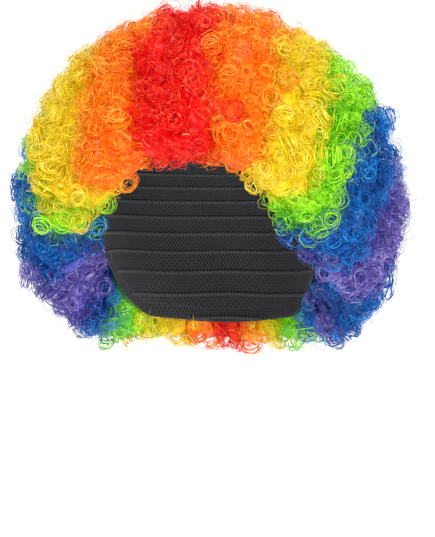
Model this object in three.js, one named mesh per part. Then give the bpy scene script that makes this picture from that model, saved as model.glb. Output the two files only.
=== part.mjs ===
// A curly party wig in rainbow stripes, with the form that it has on a head: a knitted cap, and
// twelve stripes of tightly curled hair that run from the hairline over the crown to the nape.
// Millimetres, +Z up. The origin is the inside of the cap's crown, where the head meets it.
// The face looks along -Y, so +X is the wearer's left.

import * as THREE from "three";

// Head that the cap fits
const headWidth = 148;
const headLength = 184;
const crownToBrow = 95; // from the crown down to the level where the head is widest
const headSquareness = 2.3; // 2 gives an ellipsoid, more gives a fuller forehead

// Cap
const capWall = 1.5;
const hemWall = 2.6; // the rim is turned in and sewn
const hemHeight = 9;
const capDepth = 148; // from the crown down to the rim at the nape
const capAzimuths = 36;
const capRows = 7;

// Hair, measured from the head outwards
const sideHair = 54;
const topHair = 67;
const frontHair = 17;
const backHair = 50;
const hairWaist = 62; // from the crown down to the level where the hair is widest
const hairDrop = 160; // from the crown down to the lowest edge of the hair
const rootGap = 1.2; // from the cap to the corners of the hair's flat facets
const stripeGap = 0.3;

// Locks of curls, as lumps of each stripe's outer surface
const lockHeight = 9;
const lockVariation = 0.45; // share of its height that a lock can lack
const lockValley = 0.25; // share of its height that is left between a lock and the next one along
const lockFullness = 0.7; // 1 gives a lock the roundness of a sine, less gives it fuller shoulders
const lockPattern = { lockStep: 12.9, columnStep: 78.2, stripeStep: 37.7 }; // high and low locks
const hairlineBulge = 7; // how far the curls stand out over the hairline
const stripeRows = 60; // along a stripe
const rootRows = 20;
const rootColumns = 3;

// Each border sways to both sides on its way over the head
const borderSway = 4;
const swaysPerBorder = 5;
const swayLead = 2.2; // radians by which each border's sway is ahead of its neighbour's

// The rim of the cap and the lower edge of the hair, round the head from the forehead at azimuth 0
// to the nape at 180 degrees and the same on both sides, as shares of capDepth and hairDrop.
const rimTable = [
  { azimuth: 0, cap: 0.21, hair: 0.15 },
  { azimuth: 20, cap: 0.24, hair: 0.2 },
  { azimuth: 35, cap: 0.35, hair: 0.34 },
  { azimuth: 50, cap: 0.53, hair: 0.5 },
  { azimuth: 65, cap: 0.63, hair: 0.66 },
  { azimuth: 80, cap: 0.65, hair: 0.82 },
  { azimuth: 95, cap: 0.68, hair: 0.92 },
  { azimuth: 110, cap: 0.85, hair: 0.97 },
  { azimuth: 130, cap: 0.97, hair: 0.99 },
  { azimuth: 180, cap: 1, hair: 1 },
];

// The borders between the stripes, from the wearer's right to the left: how many degrees from the
// middle of the forehead a border leaves the hairline, which share of the way from the crown to the
// ear it has come down when it is over the ear, and how many degrees from the middle of the nape it
// ends.
const borderTable = [
  { side: -1, hairline: 70, overEar: 0.83, nape: 79 },
  { side: -1, hairline: 54, overEar: 0.57, nape: 73 },
  { side: -1, hairline: 43, overEar: 0.5, nape: 42 },
  { side: -1, hairline: 33, overEar: 0.22, nape: 22 },
  { side: -1, hairline: 14, overEar: 0.135, nape: 7 },
  { side: 1, hairline: 11, overEar: 0.035, nape: 5 },
  { side: 1, hairline: 26, overEar: 0.2, nape: 15 },
  { side: 1, hairline: 40, overEar: 0.31, nape: 27 },
  { side: 1, hairline: 49, overEar: 0.465, nape: 50 },
  { side: 1, hairline: 63, overEar: 0.635, nape: 65 },
  { side: 1, hairline: 77, overEar: 0.84, nape: 76 },
];
const earStripeEnd = 5; // degrees of rim that the stripe over the ear keeps at each of its ends

// The stripes in the same order: their colour, and how many locks they have along and across
const stripeTable = [
  { name: "hair_purple_right", colour: "purple", along: 10, across: 2 },
  { name: "hair_blue_right", colour: "blue", along: 12, across: 2 },
  { name: "hair_green_right", colour: "green", along: 15, across: 1 },
  { name: "hair_yellow_right", colour: "yellow", along: 15, across: 2 },
  { name: "hair_orange_right", colour: "orange", along: 20, across: 2 },
  { name: "hair_red", colour: "red", along: 20, across: 2 },
  { name: "hair_orange_left", colour: "orange", along: 20, across: 1 },
  { name: "hair_yellow_left", colour: "yellow", along: 20, across: 2 },
  { name: "hair_green_left", colour: "green", along: 15, across: 2 },
  { name: "hair_blue_left", colour: "blue", along: 12, across: 2 },
  { name: "hair_purple_left", colour: "purple", along: 12, across: 1 },
  { name: "hair_blue_low_left", colour: "blue", along: 10, across: 1 },
];
const columnsPerLock = 3;

const hairColours = {
  red: 0xe8061c,
  orange: 0xff6a10,
  yellow: 0xf5cf14,
  green: 0x63cc1c,
  blue: 0x0c5bb4,
  purple: 0x6f55ab,
};

const radians = THREE.MathUtils.degToRad;
const power = (value, exponent) => Math.sign(value) * Math.abs(value) ** exponent;
const range = (count) => Array.from({ length: count }, (_, index) => index);

const lowestRise = -0.97; // share of a dome's half height, from its centre up

// A dome: its half sizes, the place of its centre and how boxy it is.
function makeDome(half, centreY, centreZ, squareness) {
  return { half, centre: new THREE.Vector3(0, centreY, centreZ), squareness };
}

function grow(dome, by) {
  const half = dome.half.clone().addScalar(by);
  return makeDome(half, dome.centre.y, dome.centre.z, dome.squareness);
}

const head = makeDome(
  new THREE.Vector3(headWidth / 2, headLength / 2, crownToBrow),
  0,
  -crownToBrow,
  headSquareness,
);
const hairBall = makeDome(
  new THREE.Vector3(
    headWidth / 2 + capWall + sideHair,
    (headLength + frontHair + backHair) / 2 + capWall,
    capWall + topHair + hairWaist,
  ),
  (backHair - frontHair) / 2,
  -hairWaist,
  2,
);

// The point of a dome at an azimuth round it from the front and a polar angle down from its top.
function domePoint(dome, azimuth, polar) {
  const exponent = 2 / dome.squareness;
  const girth = power(Math.sin(polar), exponent);
  return new THREE.Vector3(
    dome.half.x * girth * power(Math.sin(azimuth), exponent),
    -dome.half.y * girth * power(Math.cos(azimuth), exponent),
    dome.half.z * power(Math.cos(polar), exponent),
  ).add(dome.centre);
}

// Where the ray from a dome's centre through a point leaves the dome.
function ontoDome(dome, point) {
  const ray = point.clone().sub(dome.centre);
  const scaled = ray.clone().divide(dome.half);
  const size = [scaled.x, scaled.y, scaled.z]
    .map((share) => Math.abs(share) ** dome.squareness)
    .reduce((sum, share) => sum + share);
  return ray.multiplyScalar(size ** (-1 / dome.squareness)).add(dome.centre);
}

// The polar angle at which a dome comes down to a level, or nearly to its lowest point.
function polarAtLevel(dome, level) {
  const rise = THREE.MathUtils.clamp((level - dome.centre.z) / dome.half.z, lowestRise, 1);
  return Math.acos(power(rise, dome.squareness / 2));
}

// How far below the crown the cap or the hair ends, at an azimuth in radians.
function edgeLevel(column, depth, azimuth) {
  const turned = THREE.MathUtils.radToDeg(Math.acos(Math.cos(azimuth)));
  const upper = Math.max(1, rimTable.findIndex((row) => row.azimuth >= turned));
  const [a, b] = [rimTable[upper - 1], rimTable[upper]];
  const share = THREE.MathUtils.smoothstep(turned, a.azimuth, b.azimuth);
  return -depth * THREE.MathUtils.lerp(a[column], b[column], share);
}

const capLevel = (azimuth) => edgeLevel("cap", capDepth, azimuth);
const hairLevel = (azimuth) => edgeLevel("hair", hairDrop, azimuth);

// A sheet that follows a dome from its top, at share 0, down to its edge, at share 1.
function makeSheet(dome, levelAt) {
  const point = (azimuth, share) =>
    domePoint(dome, azimuth, share * polarAtLevel(dome, levelAt(azimuth)));
  return { dome, point };
}

function geometryFrom(points, triangles) {
  return new THREE.BufferGeometry().setFromPoints(points).setIndex(triangles.flat());
}

// The triangles between two rows of corners that may differ in number, from their start to their end.
function zip(first, second) {
  const triangles = [];
  let [i, j] = [0, 0];
  while (i < first.length - 1 || j < second.length - 1) {
    const firstShare = (i + 1) / (first.length - 1);
    const secondShare = (j + 1) / (second.length - 1);
    if (j === second.length - 1 || (i < first.length - 1 && firstShare <= secondShare)) {
      triangles.push([first[i], first[i + 1], second[j]]);
      i += 1;
    } else {
      triangles.push([first[i], second[j + 1], second[j]]);
      j += 1;
    }
  }
  return triangles;
}

const flip = (triangles) => triangles.map(([a, b, c]) => [a, c, b]);

// A closed cap wall between two sheets that share their azimuths and rows.
function wallBetween(outerPoint, innerPoint) {
  const points = [];
  const addSheet = (point) => {
    const top = points.push(point(0, 0)) - 1;
    const rows = range(capRows).map((row) => {
      const ring = range(capAzimuths).map(
        (step) => points.push(point((2 * Math.PI * step) / capAzimuths, (row + 1) / capRows)) - 1,
      );
      return [...ring, ring[0]];
    });
    const crown = range(capAzimuths).map((step) => [top, rows[0][step], rows[0][step + 1]]);
    const bands = range(capRows - 1).flatMap((row) => flip(zip(rows[row], rows[row + 1])));
    return { edge: rows[capRows - 1], triangles: [...crown, ...bands] };
  };
  const outer = addSheet(outerPoint);
  const inner = addSheet(innerPoint);
  return geometryFrom(points, [
    ...outer.triangles,
    ...flip(inner.triangles),
    ...flip(zip(outer.edge, inner.edge)),
  ]);
}

// The cap: one knitted wall on the head, thicker along its hem.
function makeCap() {
  const outside = makeSheet(grow(head, capWall), capLevel);
  const inside = makeSheet(head, (azimuth) => capLevel(azimuth) + hemHeight);
  const hemEdge = makeSheet(grow(head, capWall - hemWall), capLevel);
  const lastBodyRow = (capRows - 1) / capRows;
  const insidePoint = (azimuth, share) =>
    share > lastBodyRow ? hemEdge.point(azimuth, 1) : inside.point(azimuth, share / lastBodyRow);
  return wallBetween(outside.point, insidePoint);
}

// The line on a sheet from the hairline to the nape that a border follows: the circle on the dome
// through its three named places, with its sway, and moved by some millimetres to the wearer's right.
function borderLine(sheet, count, moved) {
  const { dome } = sheet;
  const border = borderTable[count];
  const places = [
    sheet.point(border.side * radians(border.hairline), 1),
    sheet.point(border.side * radians(90), border.overEar),
    sheet.point(border.side * radians(180 - border.nape), 1),
  ];
  const [start, middle, end] = places.map((place) =>
    place.sub(dome.centre).divide(dome.half).normalize(),
  );
  const axis = middle.clone().sub(start).cross(end.clone().sub(start)).normalize();
  const centre = axis.clone().multiplyScalar(axis.dot(start));
  const [from, to] = [start.clone().sub(centre), end.clone().sub(centre)];
  const along = Math.atan2(axis.dot(from.clone().cross(to)), from.dot(to));
  const turn = along > 0 ? along : along + 2 * Math.PI;
  return (share) => {
    const wave = Math.sin(2 * Math.PI * swaysPerBorder * share + swayLead * count);
    const sway = (borderSway / hairBall.half.x) * wave * Math.sin(Math.PI * share);
    const spot = from.clone().applyAxisAngle(axis, turn * share).add(centre);
    spot.addScaledVector(axis, sway + moved / dome.half.x);
    return ontoDome(dome, spot.multiply(dome.half).add(dome.centre));
  };
}

// The line along the free edge over one ear, between the ends of the border beside it.
function earLine(sheet, border) {
  const from = border.hairline + earStripeEnd;
  const to = 180 - border.nape - earStripeEnd;
  return (share) =>
    sheet.point(border.side * radians(THREE.MathUtils.lerp(from, to, share)), 1);
}

// The two lines that each stripe runs between, half a gap off the borders.
function stripeLines(sheet) {
  const last = borderTable.length;
  const half = stripeGap / 2;
  return range(last + 1).map((count) => ({
    from: count === 0 ? earLine(sheet, borderTable[0]) : borderLine(sheet, count - 1, -half),
    to: count === last ? earLine(sheet, borderTable[last - 1]) : borderLine(sheet, count, half),
  }));
}

function stripePoint(dome, lines, along, across) {
  return ontoDome(dome, lines.from(along).lerp(lines.to(along), across));
}

// The way out of a dome's surface at one of its points.
function outwardAt(dome, point) {
  return point.clone().sub(dome.centre).divide(dome.half).divide(dome.half).normalize();
}

// How high the locks stand at a place of a stripe, from 0 between them to 1 on the highest.
function lockRise(stripe, count, along, across) {
  const column = Math.min(Math.floor(across * stripe.across), stripe.across - 1);
  const acrossLock = across * stripe.across - column;
  const alongLocks = along * stripe.along + 0.5 * ((column + count + 1) % 2);
  const lock = Math.floor(alongLocks);
  const alongLock = alongLocks - lock;
  const rounded = (share) => Math.max(0, Math.sin(Math.PI * share)) ** lockFullness;
  const { lockStep, columnStep, stripeStep } = lockPattern;
  const pick = Math.abs(Math.sin(lockStep * lock + columnStep * column + stripeStep * count));
  const ridge = THREE.MathUtils.lerp(lockValley, 1, rounded(alongLock));
  return rounded(acrossLock) * ridge * (1 - lockVariation * pick);
}

const tipSheet = makeSheet(hairBall, hairLevel);
const rootSheet = makeSheet(grow(head, capWall + rootGap), capLevel);
const tipLines = stripeLines(tipSheet);
const rootLines = stripeLines(rootSheet);

// One stripe of hair: lumpy with locks outside, seated on the cap inside, and rounded at both ends.
function makeStripe(stripe, count) {
  const points = [];
  const columns = columnsPerLock * stripe.across;
  const tipAt = (along, across) => {
    const point = stripePoint(hairBall, tipLines[count], along, across);
    const rise = lockHeight * lockRise(stripe, count, along, across);
    return point.addScaledVector(outwardAt(hairBall, point), rise);
  };
  const rootAt = (along, across) => stripePoint(rootSheet.dome, rootLines[count], along, across);
  const addGrid = (pointAt, steps, cells) =>
    range(steps + 1).map((step) =>
      range(cells + 1).map((cell) => points.push(pointAt(step / steps, cell / cells)) - 1),
    );
  const tips = addGrid(tipAt, stripeRows, columns);
  const roots = addGrid(rootAt, rootRows, rootColumns);

  // The row that rounds an end off stands out from halfway between the tips and the roots
  const addEnd = (along, beside) =>
    range(columns + 1).map((cell) => {
      const across = cell / columns;
      const [tip, root] = [tipAt(along, across), rootAt(along, across)];
      const away = tip.clone().sub(tipAt(beside, across)).normalize();
      const bulge = hairlineBulge * (0.5 + 0.5 * Math.sin(Math.PI * across));
      return points.push(tip.lerp(root, 0.5).addScaledVector(away, bulge)) - 1;
    });
  const front = addEnd(0, 1 / stripeRows);
  const nape = addEnd(1, 1 - 1 / stripeRows);

  const column = (grid, cell) => grid.map((row) => row.at(cell));
  const sideRow = (cell) => [front.at(cell), ...column(roots, cell), nape.at(cell)];
  const between = (grid) => range(grid.length - 1).flatMap((row) => zip(grid[row], grid[row + 1]));
  return geometryFrom(points, [
    ...between(tips),
    ...flip(between(roots)),
    ...zip(column(tips, 0), sideRow(0)),
    ...flip(zip(column(tips, -1), sideRow(-1))),
    ...flip(zip(tips[0], front)),
    ...flip(zip(front, roots[0])),
    ...zip(tips[stripeRows], nape),
    ...zip(nape, roots[rootRows]),
  ]);
}

const wig = new THREE.Group();

function addPiece(name, geometry, look) {
  const piece = new THREE.Mesh(geometry, new THREE.MeshStandardMaterial(look));
  piece.name = name;
  wig.add(piece);
}

addPiece("cap", makeCap(), { color: 0x26262a, roughness: 0.9 });
stripeTable.forEach((stripe, count) => {
  const look = { color: hairColours[stripe.colour], roughness: 0.55 };
  addPiece(stripe.name, makeStripe(stripe, count), look);
});

export default wig;
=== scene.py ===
"""A curly party wig in rainbow stripes: coils of fine glossy fibre on a knitted net cap."""

import math

import bmesh
import bpy
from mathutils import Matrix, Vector
from mathutils.bvhtree import BVHTree


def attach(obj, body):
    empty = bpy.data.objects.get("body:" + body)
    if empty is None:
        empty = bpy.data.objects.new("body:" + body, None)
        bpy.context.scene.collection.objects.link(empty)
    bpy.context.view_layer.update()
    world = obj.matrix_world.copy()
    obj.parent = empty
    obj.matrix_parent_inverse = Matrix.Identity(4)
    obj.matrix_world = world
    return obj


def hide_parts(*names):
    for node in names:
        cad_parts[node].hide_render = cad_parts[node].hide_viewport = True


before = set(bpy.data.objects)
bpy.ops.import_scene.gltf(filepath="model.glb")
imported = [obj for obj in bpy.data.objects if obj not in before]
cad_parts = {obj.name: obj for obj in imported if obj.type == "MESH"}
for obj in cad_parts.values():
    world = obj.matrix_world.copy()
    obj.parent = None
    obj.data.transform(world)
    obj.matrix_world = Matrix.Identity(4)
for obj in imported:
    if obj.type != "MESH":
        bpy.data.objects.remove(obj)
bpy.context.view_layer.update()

MM = 0.001

# View: the point that the photograph's axis passes, and the height that its frame takes in there
VIEW_AZIMUTH = math.radians(10)
VIEW_DISTANCE = 1.5
VIEW_HEIGHT_SEEN = 0.376
VIEW_TARGET = Vector((0.0, 0.018, -0.108))
VIEW_SIDE_STEP = 0.0045

# The middle of the wig, inside the head, and how far back the nape begins
HEAD_MIDDLE = Vector((0.0, 0.018, -0.062))
NAPE_BEGINS = 50 * MM

# Curls
CURL_SPACING = 9.2 * MM
CURL_RADIUS = 7.0 * MM
CURL_RINGS = 5
CURL_BANDS = 2
CURL_LOOPS = 2
SMALLEST_CURL = 0.6
CURL_ROOM = 8 * MM  # from the cap to a face that has full curls
CURL_TURN = 30 * MM  # half the way over which curls turn from the front to the nape
STRAND_THICKNESS = 0.52 * MM
BAND_THICKNESS = 0.85 * MM
FUZZ_THICKNESS = 0.26 * MM
GROUND_SPACING = 4.8 * MM
FLYAWAY_SPACING = 11 * MM
STRAND_WANDER = 3.8 * MM
STREAK_SPREAD = 97  # between the streaks of the first strand and those of the last

# Places tried on a square metre, before those closer than their spacing are dropped
CURLS_TRIED = 40000.0
GROUND_TRIED = 90000.0
FLYAWAYS_TRIED = 9000.0

# Strands: turns, points a turn, and radii and height as shares of a curl's radius
STRANDS = {
    "ring": {"turns": 1.1, "points": 9, "base": 1.0, "tip": 0.84, "height": 0.36},
    "band": {"turns": 1.0, "points": 8, "base": 0.95, "tip": 0.75, "height": 0.3},
    "arc": {"turns": 0.75, "points": 6, "base": 0.75, "tip": 0.5, "height": 0.1},
    "loop": {"turns": 0.95, "points": 10, "base": 1.05, "tip": 0.7, "height": 0.45},
    "hook": {"turns": 0.8, "points": 14, "base": 1.0, "tip": 0.6, "height": 0.7},
}

# The dense mass of hair below the curls. It lies deep under them and shallow along the cap's edge.
MASS_DEPTH = 4.5 * MM
EDGE_SINK = 1.5 * MM
EDGE_BEGINS = 2 * MM
EDGE_WIDTH = 12 * MM
INWARD_TURN = 2.5  # how far the way down turns from a side that faces the head

# A face is covered where the next stripe or the cap lies this close in front of it
STRIPE_COVERS = 1.2 * MM
CAP_COVERS = 7 * MM

# Broad lumps of the outer hair, from some way off the middle of the wig
LUMP_HEIGHT = 16 * MM
LUMPS_BEGIN = 90 * MM
LUMPS_WIDTH = 30 * MM

# How far a stripe takes in curls of the next stripe's colour, and their share of its curls at the border
BORDER_MIX = (10 * MM, 0.45)
STRIPE_MIX = {"hair_green_right": (28 * MM, 0.8)}

# Gap, middle and highlight tone of each hair colour in rainbow order, as display red, green and blue
# The gap tone is painted shade and the highlight tone a painted highlight; the fibres' random tone reaches
# into both as well
HAIR_TONES = {
    "red": ((200, 0, 4), (240, 6, 14), (255, 138, 88)),
    "orange": ((222, 80, 0), (243, 138, 6), (255, 206, 90)),
    "yellow": ((202, 170, 2), (236, 206, 14), (255, 242, 130)),
    "green": ((52, 148, 6), (154, 230, 22), (214, 252, 84)),
    "blue": ((0, 40, 106), (0, 94, 180), (44, 166, 242)),
    "purple": ((42, 38, 116), (108, 93, 180), (196, 182, 236)),
}
# Painted glow: the hair gives off its own colour, standing in for light that comes through the fibres
GLOW = 0.16  # light that comes through the hair

# Cap: diamonds of net round and down the head, and the rows of tape that the hair is sewn to
HEAD_RADIUS = 78 * MM
NET_COLUMNS = 90
NET_LINES = 75
ROW_ANGLES = range(16, 150, 9)
ROW_STEPS = 120
TOO_SHORT_ROW = 12
TAPE_WIDTH = 3.4 * MM
TAPE_THICKNESS = 0.5 * MM
TAPE_SECTION = [(-0.5, -0.3), (-0.36, 1.0), (0.0, 1.2), (0.36, 1.0), (0.5, -0.3)]
TAPE_TOP = 1.2
HEM_STEPS = 180
HEM_INSET = 7 * MM
STITCH_SPACING = 2.6 * MM
STITCH_LENGTH = 3.6 * MM
STITCH_SLANT = math.radians(80)  # from one stitch to the next
THREAD_THICKNESS = 0.45 * MM

# Polar angles down from the crown between which the rim is looked for
RIM_SEARCH_BEGINS = math.radians(60)
RIM_SEARCH_ENDS = math.radians(170)
RIM_SEARCH_STEP = math.radians(0.5)

# Studio
FLOOR_LEVEL = -0.34
FLOOR_RADIUS = 60.0
FLOOR_GLOW = 0.7
ROOM_LIGHT = 0.42
BACKDROP_LIGHT = 0.6
LIGHTS = [
    {"name": "key", "place": (-0.25, -1.5, 1.0), "size": 0.35, "power": 21},
    {"name": "fill", "place": (1.1, -1.2, 0.3), "size": 0.6, "power": 14},
    {"name": "top", "place": (0.0, 0.2, 1.4), "size": 0.8, "power": 6},
    {"name": "back", "place": (0.5, 1.5, 0.6), "size": 0.8, "power": 12},
]


class Number:
    """A number socket of a node tree, for use in Python expressions."""

    def __init__(self, graph, socket):
        self.graph = graph
        self.socket = socket

    def maths(self, operation, *values):
        node = self.graph.add("ShaderNodeMath", {"operation": operation}, dict(enumerate(values)))
        return Number(self.graph, node.outputs[0])

    def __add__(self, other):
        return self.maths("ADD", self, other)

    __radd__ = __add__

    def __mul__(self, other):
        return self.maths("MULTIPLY", self, other)

    __rmul__ = __mul__

    def __sub__(self, other):
        return self.maths("SUBTRACT", self, other)

    def __rsub__(self, other):
        return self.maths("SUBTRACT", other, self)

    def __neg__(self):
        return self * -1

    def __truediv__(self, other):
        return self.maths("DIVIDE", self, other)

    def __pow__(self, other):
        return self.maths("POWER", self, other)

    def __lt__(self, other):
        return self.maths("LESS_THAN", self, other)

    def __abs__(self):
        return self.maths("ABSOLUTE", self)

    def sine(self):
        return self.maths("SINE", self)

    def cosine(self):
        return self.maths("COSINE", self)

    def sign(self):
        return self.maths("SIGN", self)

    def at_least(self, low):
        return self.maths("MAXIMUM", self, low)

    def at_most(self, high):
        return self.maths("MINIMUM", self, high)


class Graph:
    """Adds nodes to one node tree and links them."""

    def __init__(self, tree):
        self.tree = tree

    def add(self, kind, settings=None, values=None):
        node = self.tree.nodes.new(kind)
        for name, setting in (settings or {}).items():
            setattr(node, name, setting)
        for key, value in (values or {}).items():
            self.feed(self.find(node.inputs, key), value)
        return node

    def find(self, sockets, key):
        if isinstance(key, int):
            return sockets[key]
        return next(socket for socket in sockets if socket.name == key and socket.enabled)

    def feed(self, socket, value):
        if isinstance(value, Number):
            value = value.socket
        if isinstance(value, bpy.types.NodeSocket):
            self.tree.links.new(value, socket)
        else:
            socket.default_value = value

    def number(self, node, key=0):
        return Number(self, self.find(node.outputs, key))

    def out(self, kind, settings=None, values=None, key=0):
        return self.find(self.add(kind, settings, values).outputs, key)

    def vector(self, operation, *values):
        return self.out("ShaderNodeVectorMath", {"operation": operation}, dict(enumerate(values)))

    def scaled(self, value, by):
        return self.out("ShaderNodeVectorMath", {"operation": "SCALE"}, {0: value, "Scale": by})

    def length(self, value):
        return self.number(self.add("ShaderNodeVectorMath", {"operation": "LENGTH"}, {0: value}), "Value")

    def noise(self, values, dimensions="3D"):
        return self.number(self.add("ShaderNodeTexNoise", {"noise_dimensions": dimensions}, values))

    def mixed(self, share, first, second):
        values = {"Factor": share, "A": first, "B": second}
        return self.out("ShaderNodeMix", {"data_type": "RGBA"}, values, key="Result")

    def bumped(self, height, strength, distance):
        values = {"Strength": strength, "Distance": distance, "Height": height}
        return self.out("ShaderNodeBump", None, values)


class FormTree(Graph):
    """A geometry node tree with named inputs, which ends in one realized and dressed mesh."""

    def __init__(self, name, inputs):
        super().__init__(bpy.data.node_groups.new(name, "GeometryNodeTree"))
        interface = self.tree.interface
        self.identifiers = {}
        for label, kind, value in inputs + [("Seed", "Int", 0), ("Material", "Material", None)]:
            socket = interface.new_socket(name=label, in_out="INPUT", socket_type=f"NodeSocket{kind}")
            if value is not None:
                socket.default_value = value
            self.identifiers[label] = socket.identifier
        interface.new_socket(name="Mesh", in_out="OUTPUT", socket_type="NodeSocketGeometry")
        self.source = self.add("NodeGroupInput")
        self.result = self.add("NodeGroupOutput")

    def given(self, label):
        return self.find(self.source.outputs, label)

    def size(self, label):
        return Number(self, self.given(label))

    def read(self, name, kind="FLOAT"):
        settings = {"data_type": kind}
        return self.out("GeometryNodeInputNamedAttribute", settings, {"Name": name}, key="Attribute")

    def read_number(self, name):
        return Number(self, self.read(name))

    def store(self, geometry, name, value, kind="FLOAT"):
        values = {"Geometry": geometry, "Name": name, "Value": value}
        return self.out("GeometryNodeStoreNamedAttribute", {"data_type": kind, "domain": "POINT"}, values)

    def random_number(self, low, high, step):
        values = {"Min": low, "Max": high, "Seed": self.size("Seed") + step}
        return self.number(self.add("FunctionNodeRandomValue", {"data_type": "FLOAT"}, values), "Value")

    def random_vector(self, reach, step):
        values = {"Min": (-reach,) * 3, "Max": (reach,) * 3, "Seed": self.size("Seed") + step}
        return self.out("FunctionNodeRandomValue", {"data_type": "FLOAT_VECTOR"}, values, key="Value")

    def moved(self, geometry, offset):
        return self.out("GeometryNodeSetPosition", None, {"Geometry": geometry, "Offset": offset})

    def joined(self, parts):
        node = self.add("GeometryNodeJoinGeometry")
        for part in parts:
            self.tree.links.new(part, node.inputs[0])
        return node.outputs[0]

    def realized(self, geometry):
        return self.out("GeometryNodeRealizeInstances", None, {"Geometry": geometry})

    def finish(self, geometry):
        smooth = self.out("GeometryNodeSetShadeSmooth", None, {"Geometry": geometry, "Shade Smooth": True})
        values = {"Geometry": self.realized(smooth), "Material": self.given("Material")}
        self.tree.links.new(self.out("GeometryNodeSetMaterial", None, values), self.result.inputs[0])

    def mesh_from(self, source, name, values, kept):
        """The tree's mesh on a source object, with only the kept attributes."""
        modifier = source.modifiers.new(name, "NODES")
        modifier.node_group = self.tree
        for label, value in values.items():
            modifier[self.identifiers[label]] = value
        depsgraph = bpy.context.evaluated_depsgraph_get()
        mesh = bpy.data.meshes.new_from_object(
            source.evaluated_get(depsgraph), preserve_all_data_layers=True, depsgraph=depsgraph
        )
        source.modifiers.remove(modifier)
        mesh.name = name
        mesh.materials.clear()
        mesh.materials.append(values["Material"])
        for attribute in [a.name for a in mesh.attributes if a.domain == "POINT" and not a.is_required]:
            if attribute not in kept:
                mesh.attributes.remove(mesh.attributes[attribute])
        return mesh


def add_camera():
    data = bpy.data.cameras.new("camera")
    data.sensor_fit = "VERTICAL"
    data.lens = data.sensor_height * VIEW_DISTANCE / VIEW_HEIGHT_SEEN
    camera = bpy.data.objects.new("camera", data)
    away = Vector((math.sin(VIEW_AZIMUTH), -math.cos(VIEW_AZIMUTH), 0))
    right = Vector((math.cos(VIEW_AZIMUTH), math.sin(VIEW_AZIMUTH), 0))
    camera.location = VIEW_TARGET + right * VIEW_SIDE_STEP + away * VIEW_DISTANCE
    camera.rotation_euler = (-away).to_track_quat("-Z", "Y").to_euler()
    bpy.context.scene.collection.objects.link(camera)
    bpy.context.scene.camera = camera


add_camera()


def new_object(name, mesh):
    piece = bpy.data.objects.new(name, mesh)
    bpy.context.scene.collection.objects.link(piece)
    return piece


def merged_copy(node):
    """A bmesh of a CAD node with its corners joined."""
    form = bmesh.new()
    form.from_mesh(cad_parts[node].data)
    bmesh.ops.remove_doubles(form, verts=form.verts, dist=0.002 * MM)
    form.normal_update()
    return form


def new_material(name):
    """A new material, with its graph and its shader."""
    material = bpy.data.materials.new(name)
    material.use_nodes = True
    return material, Graph(material.node_tree), material.node_tree.nodes["Principled BSDF"]


# Hair material

def linear(display):
    """A linear colour from display values of 0 to 255."""
    shares = (value / 255 for value in display)
    return (*(s / 12.92 if s <= 0.04045 else ((s + 0.055) / 1.055) ** 2.4 for s in shares), 1.0)


def neighbour_colours(colour):
    """The colours on the warmer and the cooler side of one in the rainbow."""
    order = list(HAIR_TONES)
    place = order.index(colour)
    return order[max(place - 1, 0)], order[min(place + 1, len(order) - 1)]


def hair_material(colour):
    """Glossy fibre in fine swirls with painted glints, painted shade and a painted glow, and strands of the
    next stripe's colour near a border.
    """
    material, graph, shader = new_material(f"{colour}_fibre")

    def attribute(name):
        return graph.number(graph.add("ShaderNodeAttribute", {"attribute_name": name}), "Fac")

    place = graph.out("ShaderNodeTexCoord", key="Object")
    values = {"Vector": place, "Scale": 95.0, "Smoothness": 0.6}
    cells = graph.number(graph.add("ShaderNodeTexVoronoi", {"feature": "SMOOTH_F1"}, values), "Distance")
    swirl = graph.noise({"Vector": place, "Scale": 120.0, "Detail": 1.0}) * 8 + cells * 6
    fibres = graph.noise({"W": swirl + attribute("fibre"), "Scale": 1.0, "Detail": 1.0}, "1D")
    patch = graph.noise({"Vector": place, "Scale": 45.0, "Detail": 2.0})
    # Painted highlight: short bright glints on a random share of strands lift their tone towards the
    # highlight tone
    glints = graph.noise({"Vector": place, "Scale": 320.0, "Detail": 1.0})
    shine = attribute("glint_and_streak_seed") ** 2 * ((glints - 0.5) * 6).at_least(0.0).at_most(1.0)
    tone = 0.5 + (fibres - 0.5) * 1.2 + (patch - 0.5) * 0.9 + shine
    # Painted shade: tone darkens towards the gap tone where depth is low, deep in the curls and on the mass
    # below them
    tone = (tone - (1 - attribute("depth")) * 0.5).at_least(0.0).at_most(1.0)

    def toned(name):
        # Low tone gives painted shade in the gap tone, high tone a painted highlight
        gap, middle, highlight = (linear(display) for display in HAIR_TONES[name])
        body = graph.mixed((tone * 2).at_most(1.0), gap, middle)
        return graph.mixed((tone * 2 - 1).at_least(0.0), body, highlight)

    warmer, cooler = neighbour_colours(colour)
    blend = attribute("blend")
    hue = graph.mixed((-blend).at_least(0.0), toned(colour), toned(warmer))
    hue = graph.mixed(blend.at_least(0.0), hue, toned(cooler))
    graph.feed(shader.inputs["Base Color"], hue)
    # Painted glow: the fibres give off their own colour as light
    graph.feed(shader.inputs["Emission Color"], hue)
    graph.feed(shader.inputs["Normal"], graph.bumped(fibres, 0.6, 0.25 * MM))
    shader.inputs["Emission Strength"].default_value = GLOW
    shader.inputs["Roughness"].default_value = 0.32
    shader.inputs["Specular IOR Level"].default_value = 0.18
    return material


# Curls

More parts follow.
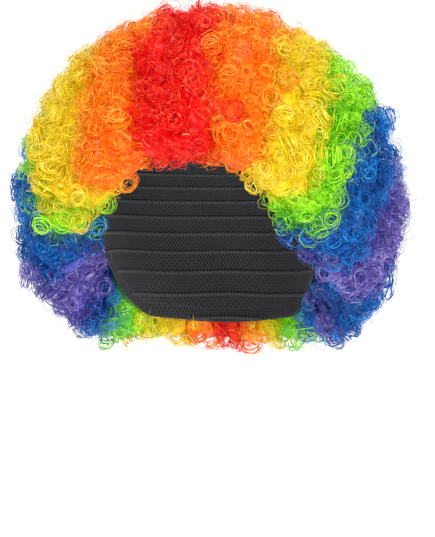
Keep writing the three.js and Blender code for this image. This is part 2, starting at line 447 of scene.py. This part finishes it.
def strand(tree, name, thickness, fibres=3):
    """A spiral strand round +Z from its base radius to its tip radius, thin at both ends."""
    form = STRANDS[name]
    radius = tree.size("Curl radius")
    values = {
        "Resolution": form["points"],
        "Rotations": form["turns"],
        "Start Radius": radius * form["base"],
        "End Radius": radius * form["tip"],
        "Height": radius * form["height"],
    }
    spiral = tree.out("GeometryNodeCurveSpiral", None, values, key="Curve")
    along = tree.number(tree.add("GeometryNodeSplineParameter"), "Factor")
    taper = 1 - abs(along * 2 - 1) ** 4 * 0.75
    sized = tree.out("GeometryNodeSetCurveRadius", None, {"Curve": spiral, "Radius": taper}, key="Curve")
    round_section = {"Resolution": 3, "Radius": thickness / 2}
    profile = tree.out("GeometryNodeCurvePrimitiveCircle", {"mode": "RADIUS"}, round_section, key="Curve")
    profile = tree.store(profile, "across", along * fibres)
    values = {"Curve": sized, "Profile Curve": profile, "Fill Caps": True}
    return tree.out("GeometryNodeCurveToMesh", None, values, key="Mesh")


def scatter(tree, spacing, tried, step):
    """Points on the exposed faces, each with the axis, size, colour blend and a random shift of the painted
    shade of its curl.
    """
    values = {"Geometry": tree.given("Stripe"), "Selection": tree.read("exposed", "BOOLEAN")}
    values = {
        "Mesh": tree.out("GeometryNodeSeparateGeometry", {"domain": "FACE"}, values),
        "Distance Min": tree.size(spacing),
        "Density Max": tried,
        "Density Factor": 1.0,
        "Seed": tree.size("Seed") + step,
    }
    spread = tree.add("GeometryNodeDistributePointsOnFaces", {"distribute_method": "POISSON"}, values)
    outward = tree.find(spread.outputs, "Normal")
    here = tree.add("ShaderNodeSeparateXYZ", None, {0: tree.out("GeometryNodeInputPosition")})
    towards_nape = ((tree.number(here, "Y") - NAPE_BEGINS) / CURL_TURN).at_least(-1.0).at_most(1.0)
    front_or_nape = tree.out("ShaderNodeCombineXYZ", None, {"Y": towards_nape * 0.5})
    lean = tree.vector("ADD", tree.scaled(outward, 0.6), tree.random_vector(0.7, step + 1))
    lean = tree.vector("NORMALIZE", tree.vector("ADD", lean, front_or_nape))
    points = tree.store(tree.find(spread.outputs, "Points"), "outward", outward, "FLOAT_VECTOR")
    points = tree.store(points, "lean", lean, "FLOAT_VECTOR")
    size = tree.random_number(0.7, 1.3, step + 2) * tree.read_number("fullness")
    points = tree.store(points, "curl_size", size)
    # Each curl's random shift of its painted shade, lighter or darker
    points = tree.store(points, "curl_depth", tree.random_number(-0.4, 0.2, step + 4))
    border = tree.read_number("border")
    stray_curl = tree.random_number(0.0, 1.0, step + 3) < abs(border) * tree.size("Stray curls")
    return tree.store(points, "curl_blend", border.sign() * stray_curl * 0.95)


def wind(tree, points, shape, count, step, size=1.0, dome=0.0, sink=0.0, tilt=0.2, depth=1.0):
    """Winds count strands round the axis of each point, in rings that climb a dome."""
    values = {"Geometry": points, "Amount": count}
    copies = tree.add("GeometryNodeDuplicateElements", {"domain": "POINT"}, values)
    layer = tree.number(copies, "Duplicate Index") / max(count - 1, 1)
    strands = tree.store(tree.find(copies.outputs, "Geometry"), "layer", layer)
    layer = tree.read_number("layer")
    climb = layer * dome
    full = tree.read_number("curl_size") * size
    outward, lean = tree.read("outward", "FLOAT_VECTOR"), tree.read("lean", "FLOAT_VECTOR")
    rise = tree.scaled(lean, climb.sine() * full * tree.size("Curl radius"))
    sink = tree.length(tree.read("sink", "FLOAT_VECTOR")) / MASS_DEPTH * sink
    strands = tree.moved(strands, tree.vector("ADD", tree.scaled(outward, -sink), rise))
    # A random share for each strand: how strongly its painted glints show, and where its streaks begin
    glint_and_streak_seed = tree.random_number(0.0, 1.0, step)
    border = tree.read_number("border")
    stray = tree.random_number(0.0, 1.0, step + 1) < abs(border) * 0.2
    blend = tree.read_number("curl_blend") * (1 - stray) + border.sign() * stray * 0.8
    strands = tree.store(strands, "glint_and_streak_seed", glint_and_streak_seed)
    strands = tree.store(strands, "start", glint_and_streak_seed * STREAK_SPREAD)
    strands = tree.store(strands, "blend", blend)
    # Painted shade: lower rings of a curl take a smaller depth and come out darker; depth sets it for the
    # lowest ring
    strands = tree.store(strands, "depth", layer * (1 - depth) + depth + tree.read_number("curl_depth"))
    axis = tree.vector("ADD", lean, tree.random_vector(tilt, step + 2))
    upright = tree.out("FunctionNodeAlignRotationToVector", {"axis": "Z"}, {"Vector": axis})
    turn = tree.out("ShaderNodeCombineXYZ", None, {"Z": tree.random_number(0.0, 2 * math.pi, step + 3)})
    values = {"Rotation": upright, "Rotate By": turn}
    turned = tree.out("FunctionNodeRotateRotation", {"rotation_space": "LOCAL"}, values)
    uneven = tree.vector("ADD", (1.0, 1.0, 1.0), tree.random_vector(0.1, step + 4))
    values = {
        "Points": strands,
        "Instance": shape,
        "Rotation": turned,
        "Scale": tree.scaled(uneven, climb.cosine() * full),
    }
    return tree.out("GeometryNodeInstanceOnPoints", None, values)


def build_curl_tree():
    """Curls on the exposed faces of a stripe, over the dense mass of hair below them."""
    sizes = [
        ("Stripe", "Geometry", None),
        ("Curl spacing", "Float", CURL_SPACING),
        ("Curl radius", "Float", CURL_RADIUS),
        ("Strand thickness", "Float", STRAND_THICKNESS),
        ("Band thickness", "Float", BAND_THICKNESS),
        ("Fuzz thickness", "Float", FUZZ_THICKNESS),
        ("Ground spacing", "Float", GROUND_SPACING),
        ("Flyaway spacing", "Float", FLYAWAY_SPACING),
        ("Lump height", "Float", LUMP_HEIGHT),
        ("Stray curls", "Float", BORDER_MIX[1]),
    ]
    tree = FormTree("curls", sizes)
    ring = strand(tree, "ring", tree.size("Strand thickness"))
    band = strand(tree, "band", tree.size("Band thickness"), fibres=7)
    arc = strand(tree, "arc", tree.size("Strand thickness") * 1.2)
    loop = strand(tree, "loop", tree.size("Fuzz thickness"))
    hook = strand(tree, "hook", tree.size("Fuzz thickness") * 0.8)

    curls = scatter(tree, "Curl spacing", CURLS_TRIED, 10)
    ground = scatter(tree, "Ground spacing", GROUND_TRIED, 70)
    flyaways = scatter(tree, "Flyaway spacing", FLYAWAYS_TRIED, 50)
    strands = [
        wind(tree, curls, ring, CURL_RINGS, 20, dome=1.2, sink=2.6 * MM, tilt=0.22, depth=0.4),
        wind(tree, curls, band, CURL_BANDS, 90, dome=0.8, sink=3.0 * MM, tilt=0.2, depth=0.35),
        wind(tree, curls, loop, CURL_LOOPS, 30, size=1.1, dome=0.6, sink=0.8 * MM, tilt=0.9),
        wind(tree, ground, arc, 1, 80, sink=3.6 * MM, tilt=0.5, depth=0.55),
        wind(tree, flyaways, hook, 1, 60, size=1.05, sink=0.0, tilt=1.6),
    ]
    here = tree.out("GeometryNodeInputPosition")
    values = {"Vector": here, "Scale": 150.0, "Detail": 1.0}
    wander = tree.out("ShaderNodeTexNoise", None, values, key="Color")
    wander = tree.scaled(tree.vector("SUBTRACT", wander, (0.5, 0.5, 0.5)), STRAND_WANDER)
    hair = tree.moved(tree.realized(tree.joined(strands)), wander)
    hair = tree.store(hair, "fibre", tree.read_number("across") + tree.read_number("start"))

    sink = tree.read("sink", "FLOAT_VECTOR")
    mass = tree.moved(tree.given("Stripe"), sink)
    fine_lump = tree.noise({"Vector": here, "Scale": 210.0, "Detail": 2.0})
    lift = tree.scaled(tree.out("GeometryNodeInputNormal"), (fine_lump - 0.5) * tree.length(sink))
    mass = tree.moved(mass, lift)
    mass = tree.store(mass, "blend", tree.read_number("border") * 0.4)
    # Painted shade: the mass below the curls takes the darkest shade
    mass = tree.store(mass, "depth", 0.0)
    # The mass's painted glints at a fixed middle strength
    mass = tree.store(mass, "glint_and_streak_seed", 0.3)

    away = tree.vector("SUBTRACT", here, tuple(HEAD_MIDDLE))
    outer = ((tree.length(away) - LUMPS_BEGIN) / LUMPS_WIDTH).at_least(0.0).at_most(1.0)
    lump = tree.noise({"Vector": here, "Scale": 26.0, "Detail": 1.0})
    rise = tree.scaled(tree.vector("NORMALIZE", away), (lump - 0.52) * outer * tree.size("Lump height"))
    tree.finish(tree.moved(tree.joined([hair, mass]), rise))
    return tree


def curl_fullness(face, middle, cap_gap):
    """The size of a face's curls, which are small where it looks into the hollow close to the cap."""
    away = middle - HEAD_MIDDLE
    if middle.y > NAPE_BEGINS:
        facing = face.normal.dot(Vector((away.x, away.y, 0)).normalized()) - 0.4
    else:
        facing = face.normal.dot(away.normalized())
    outwards = (facing + 0.5) / 0.3
    room = cap_gap / CURL_ROOM
    return SMALLEST_CURL + (1 - SMALLEST_CURL) * min(max(outwards, room, 0.0), 1.0)


def stripe_mesh(node, trees, blend_reach):
    """The stripe's form, with its open faces, their curl size, its way down into the hair and its borders."""
    form = merged_copy(node)
    bmesh.ops.subdivide_edges(form, edges=form.edges, cuts=1, use_grid_fill=True)
    form.normal_update()
    exposed = form.faces.layers.bool.new("exposed")
    sink = form.verts.layers.float_vector.new("sink")
    border = form.verts.layers.float.new("border")
    fullness = form.faces.layers.float.new("fullness")
    covers = [
        (tree, CAP_COVERS if name == "cap" else STRIPE_COVERS)
        for name, tree in trees.items()
        if name != node
    ]
    for face in form.faces:
        middle = face.calc_center_median()
        start = middle + face.normal * 0.02 * MM
        face[exposed] = all(tree.ray_cast(start, face.normal, reach)[0] is None for tree, reach in covers)
        face[fullness] = curl_fullness(face, middle, trees["cap"].find_nearest(middle)[3])

    warmer, cooler = neighbour_colours(node.split("_")[1])

    def nearness(corner, colour):
        gaps = [
            tree.find_nearest(corner.co)[3]
            for name, tree in trees.items()
            if name != node and name.startswith(f"hair_{colour}")
        ]
        return max(1 - min(gaps) / blend_reach, 0.0)

    for corner in form.verts:
        cap_gap = trees["cap"].find_nearest(corner.co)[3]
        share = min(max((cap_gap - EDGE_BEGINS) / EDGE_WIDTH, 0.0), 1.0)
        way_in = (HEAD_MIDDLE - corner.co).normalized()
        way_in -= corner.normal * INWARD_TURN * max(corner.normal.dot(way_in), 0.0)
        corner[sink] = way_in.normalized() * MASS_DEPTH * share - corner.normal * EDGE_SINK * (1 - share)
        towards_warmer = 0.0 if node == "hair_red" else nearness(corner, warmer)
        towards_cooler = 0.0 if "purple" in node else nearness(corner, cooler)
        corner[border] = towards_cooler if towards_cooler > towards_warmer else -towards_warmer
    mesh = bpy.data.meshes.new(node)
    form.to_mesh(mesh)
    form.free()
    return mesh


def make_hair():
    forms = {name: merged_copy(name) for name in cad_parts}
    trees = {name: BVHTree.FromBMesh(form) for name, form in forms.items()}
    materials = {colour: hair_material(colour) for colour in HAIR_TONES}
    tree = build_curl_tree()
    for count, node in enumerate(sorted(name for name in trees if name.startswith("hair_"))):
        name = node.replace("hair", "curls")
        colour = node.split("_")[1]
        blend_reach, stray_curls = STRIPE_MIX.get(node, BORDER_MIX)
        source = new_object("source", stripe_mesh(node, trees, blend_reach))
        values = {"Seed": 100 * (count + 1), "Material": materials[colour], "Stray curls": stray_curls}
        mesh = tree.mesh_from(source, name, values, kept=("fibre", "glint_and_streak_seed", "depth", "blend"))
        bpy.data.objects.remove(source)
        piece = new_object(name, mesh)
        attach(piece, "root")
        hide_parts(node)
    for form in forms.values():
        form.free()


make_hair()


# Cap

def net_material():
    """Dark elastic net: two families of threads that cross on a diamond lattice round the head."""
    material, graph, shader = new_material("knitted_net")
    place = graph.out("ShaderNodeTexCoord", key="Object")
    away = graph.vector("SUBTRACT", place, tuple(HEAD_MIDDLE))
    from_middle = graph.add("ShaderNodeSeparateXYZ", None, {0: away})
    x, y, z = (graph.number(from_middle, axis) for axis in "XYZ")
    azimuth = y.maths("ARCTAN2", y, x)
    polar = z.maths("ARCTAN2", (x * x + y * y) ** 0.5, z)
    around, down = azimuth * NET_COLUMNS, polar * NET_LINES
    wander = graph.noise({"Vector": place, "Scale": 60.0}) * 2.5
    threads = abs((around + down + wander).sine()).at_most(abs((around - down + wander).sine()))
    thread = (1 - threads * 2.2).at_least(0.0)
    patch = graph.noise({"Vector": place, "Scale": 35.0})
    hue = graph.mixed(thread * (0.5 + patch), (0.006, 0.006, 0.008, 1.0), (0.10, 0.10, 0.115, 1.0))
    graph.feed(shader.inputs["Base Color"], hue)
    graph.feed(shader.inputs["Normal"], graph.bumped(thread, 0.8, 0.4 * MM))
    shader.inputs["Roughness"].default_value = 0.8
    return material


def tape_material(name, dark, light, scale):
    """Woven tape or thread, with its weave as fine bumps and a little unevenness in its colour."""
    material, graph, shader = new_material(name)
    place = graph.out("ShaderNodeTexCoord", key="Object")
    weave = graph.noise({"Vector": place, "Scale": scale, "Detail": 2.0})
    graph.feed(shader.inputs["Base Color"], graph.mixed(weave, dark, light))
    graph.feed(shader.inputs["Normal"], graph.bumped(weave, 0.5, 0.2 * MM))
    shader.inputs["Roughness"].default_value = 0.7
    return material


def make_cap_wall():
    form = merged_copy("cap")
    bend = math.radians(60)
    bmesh.ops.join_triangles(form, faces=form.faces, angle_face_threshold=bend, angle_shape_threshold=bend)
    for face in form.faces:
        face.smooth = True
    coarse = bpy.data.meshes.new("coarse_wall")
    form.to_mesh(coarse)
    form.free()
    source = new_object("coarse_wall", coarse)
    rounding = source.modifiers.new("rounding", "SUBSURF")
    rounding.levels = rounding.render_levels = 2
    depsgraph = bpy.context.evaluated_depsgraph_get()
    mesh = bpy.data.meshes.new_from_object(source.evaluated_get(depsgraph))
    bpy.data.objects.remove(source)
    mesh.name = "cap_net"
    mesh.materials.clear()
    mesh.materials.append(net_material())
    piece = new_object("cap_net", mesh)
    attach(piece, "root")
    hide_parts("cap")
    corners = [vertex.co for vertex in mesh.vertices]
    return BVHTree.FromPolygons(corners, [face.vertices for face in mesh.polygons])


def wall_point(wall, polar, azimuth):
    """The place on the cap's inner wall in one direction, with its way inwards; None in the opening."""
    direction = Vector(
        (math.sin(polar) * math.cos(azimuth), math.sin(polar) * math.sin(azimuth), math.cos(polar))
    )
    place, normal, _, _ = wall.ray_cast(HEAD_MIDDLE, direction)
    if place is None:
        return None
    return place, normal if normal.dot(direction) < 0 else -normal


def weft_row(wall, polar):
    """One row round the head, from rim to rim, as wall points a few degrees apart."""
    azimuths = [math.radians(-90 + 360 * step / ROW_STEPS) for step in range(ROW_STEPS)]
    turn = [wall_point(wall, polar, azimuth) for azimuth in azimuths]
    if all(turn):
        return turn + turn[:1]
    found = [step for step, point in enumerate(turn) if point]
    return turn[found[0] + 2:found[-1] - 1] if len(found) > TOO_SHORT_ROW else []


def hem_row(wall):
    """A row that follows the rim, HEM_INSET above it."""
    row = []
    for step in range(HEM_STEPS + 1):
        azimuth = math.radians(-90 + 360 * step / HEM_STEPS)
        polar = RIM_SEARCH_BEGINS
        while wall_point(wall, polar, azimuth) and polar < RIM_SEARCH_ENDS:
            polar += RIM_SEARCH_STEP
        point = wall_point(wall, polar - HEM_INSET / HEAD_RADIUS, azimuth)
        if point:
            row.append(point)
    return row


def lay_tape(form, row):
    """A flat woven tape along a row, with its lower side sunk into the wall."""
    rings = []
    for before, (place, inward), after in zip(row[:1] + row[:-1], row, row[1:] + row[-1:]):
        along = (after[0] - before[0]).normalized()
        across = along.cross(inward).normalized()
        rings.append([
            form.verts.new(place + across * (TAPE_WIDTH * side) + inward * (TAPE_THICKNESS * height))
            for side, height in TAPE_SECTION
        ])
    for first, second in zip(rings, rings[1:]):
        for corner in range(len(TAPE_SECTION)):
            other = (corner + 1) % len(TAPE_SECTION)
            form.faces.new((first[corner], first[other], second[other], second[corner]))
    for ring in (rings[0], rings[-1]):
        form.faces.new(ring)


def build_stitch_tree():
    """Zigzag stitches along the rows of a wire mesh, each lying flat on the wall."""
    sizes = [
        ("Rows", "Geometry", None),
        ("Stitch spacing", "Float", STITCH_SPACING),
        ("Stitch length", "Float", STITCH_LENGTH),
        ("Thread thickness", "Float", THREAD_THICKNESS),
    ]
    tree = FormTree("stitches", sizes)
    half = tree.size("Stitch length") / 2
    rise = tree.size("Thread thickness")
    values = {
        "Resolution": 2,
        "Start": tree.out("ShaderNodeCombineXYZ", None, {"Y": -half, "Z": -rise}),
        "Middle": tree.out("ShaderNodeCombineXYZ", None, {"Z": rise}),
        "End": tree.out("ShaderNodeCombineXYZ", None, {"Y": half, "Z": -rise}),
    }
    bow = tree.out("GeometryNodeCurveQuadraticBezier", None, values)
    round_section = {"Resolution": 3, "Radius": rise / 2}
    thread = tree.out("GeometryNodeCurvePrimitiveCircle", {"mode": "RADIUS"}, round_section)
    values = {"Curve": bow, "Profile Curve": thread, "Fill Caps": True}
    stitch = tree.out("GeometryNodeCurveToMesh", None, values)
    rows = tree.out("GeometryNodeMeshToCurve", None, {"Mesh": tree.given("Rows")})
    values = {"Curve": rows, "Length": tree.size("Stitch spacing")}
    points = tree.out("GeometryNodeResampleCurve", {"mode": "LENGTH"}, values)
    along = tree.out("GeometryNodeInputTangent")
    inward = tree.read("inward", "FLOAT_VECTOR")
    flat = tree.out("FunctionNodeAlignRotationToVector", {"axis": "Z"}, {"Vector": inward})
    values = {"Rotation": flat, "Vector": along}
    turned = tree.out("FunctionNodeAlignRotationToVector", {"axis": "X", "pivot_axis": "Z"}, values)
    index = Number(tree, tree.out("GeometryNodeInputIndex"))
    slant = (index.maths("MODULO", index, 2) - 0.5) * STITCH_SLANT
    values = {"Rotation": turned, "Rotate By": tree.out("ShaderNodeCombineXYZ", None, {"Z": slant})}
    zigzag = tree.out("FunctionNodeRotateRotation", {"rotation_space": "LOCAL"}, values)
    values = {"Points": points, "Instance": stitch, "Rotation": zigzag}
    tree.finish(tree.out("GeometryNodeInstanceOnPoints", None, values))
    return tree


def make_weft_rows(wall):
    """The tapes that the hair is sewn to, and the zigzag stitches that hold them and the hem."""
    rows = [row for row in (weft_row(wall, math.radians(angle)) for angle in ROW_ANGLES) if row]
    tapes = bmesh.new()
    for row in rows:
        lay_tape(tapes, row)
    bmesh.ops.recalc_face_normals(tapes, faces=tapes.faces)
    for face in tapes.faces:
        face.smooth = True
    mesh = bpy.data.meshes.new("weft_tapes")
    tapes.to_mesh(mesh)
    tapes.free()
    tape = tape_material("woven_tape", (0.008, 0.008, 0.01, 1.0), (0.045, 0.045, 0.05, 1.0), 900.0)
    mesh.materials.append(tape)
    piece = new_object("weft_tapes", mesh)
    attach(piece, "root")

    wires = bmesh.new()
    way_in = wires.verts.layers.float_vector.new("inward")
    for row, lift in [(row, TAPE_TOP * TAPE_THICKNESS) for row in rows] + [(hem_row(wall), 0.0)]:
        corners = []
        for place, inward in row:
            corner = wires.verts.new(place + inward * lift)
            corner[way_in] = inward
            corners.append(corner)
        for first, second in zip(corners, corners[1:]):
            wires.edges.new((first, second))
    mesh = bpy.data.meshes.new("rows")
    wires.to_mesh(mesh)
    wires.free()
    source = new_object("rows", mesh)
    thread = tape_material("sewing_thread", (0.06, 0.06, 0.07, 1.0), (0.22, 0.22, 0.24, 1.0), 1500.0)
    stitches = build_stitch_tree().mesh_from(source, "stitches", {"Material": thread}, kept=())
    bpy.data.objects.remove(source)
    piece = new_object("stitches", stitches)
    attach(piece, "root")


make_weft_rows(make_cap_wall())


# Studio

def add_stage():
    place = (0, 0, FLOOR_LEVEL)
    bpy.ops.mesh.primitive_circle_add(vertices=64, radius=FLOOR_RADIUS, fill_type="NGON", location=place)
    floor = bpy.context.object
    floor.name = "floor"
    material, _, shader = new_material("pale_floor")
    shader.inputs["Base Color"].default_value = (0.9, 0.9, 0.9, 1.0)
    shader.inputs["Roughness"].default_value = 0.8
    shader.inputs["Emission Color"].default_value = (1.0, 1.0, 1.0, 1.0)
    shader.inputs["Emission Strength"].default_value = FLOOR_GLOW
    floor.data.materials.append(material)


def add_light(name, place, size, power):
    data = bpy.data.lights.new(name, "AREA")
    data.shape = "DISK"
    data.size = size
    data.energy = power
    light = bpy.data.objects.new(name, data)
    light.location = place
    light.rotation_euler = (VIEW_TARGET - Vector(place)).to_track_quat("-Z", "Y").to_euler()
    bpy.context.scene.collection.objects.link(light)


def add_world():
    world = bpy.data.worlds.new("studio")
    world.use_nodes = True
    graph = Graph(world.node_tree)
    background = world.node_tree.nodes["Background"]
    background.inputs["Color"].default_value = (1.0, 1.0, 1.0, 1.0)
    seen = graph.number(graph.add("ShaderNodeLightPath"), "Is Camera Ray")
    graph.feed(background.inputs["Strength"], ROOM_LIGHT + seen * BACKDROP_LIGHT)
    bpy.context.scene.world = world


add_stage()
add_world()
for light in LIGHTS:
    add_light(**light)
bpy.context.scene.view_settings.view_transform = "Standard"
